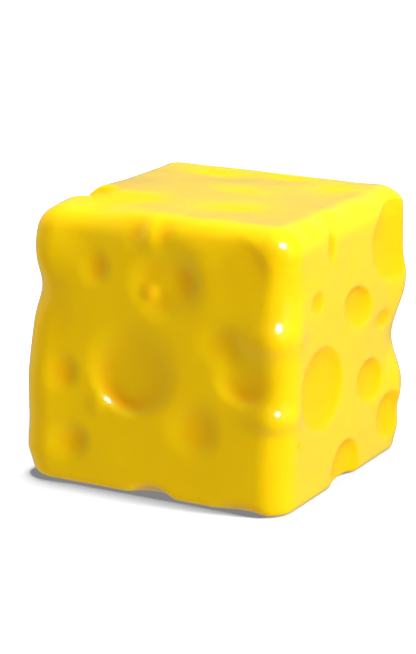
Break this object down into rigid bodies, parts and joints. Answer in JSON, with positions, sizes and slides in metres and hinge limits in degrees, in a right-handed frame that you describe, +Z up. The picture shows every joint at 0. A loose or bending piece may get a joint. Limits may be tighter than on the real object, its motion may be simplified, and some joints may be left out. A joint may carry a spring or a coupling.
{
  "type": "block of holed cheese",
  "caption": "Cube-shaped block of yellow holed cheese with soft rounded edges, a glossy dimpled skin and round gas eyes, resting on its flat base.",
  "frame": {"origin": "middle of the flat base, at the centre of the bounding box's bottom face", "axes": "+Z up, -Y out of the front side with the large soft dents, +X out of the right side with the shallow crisp eyes"},
  "size_m": [0.106, 0.1082, 0.1002],
  "materials": {
    "cheese_paste": "glossy, moist, slightly translucent yellow cheese paste"
  },
  "bodies": {
    "root": {"cheese_block": "cheese_paste"}
  },
  "joints": []
}
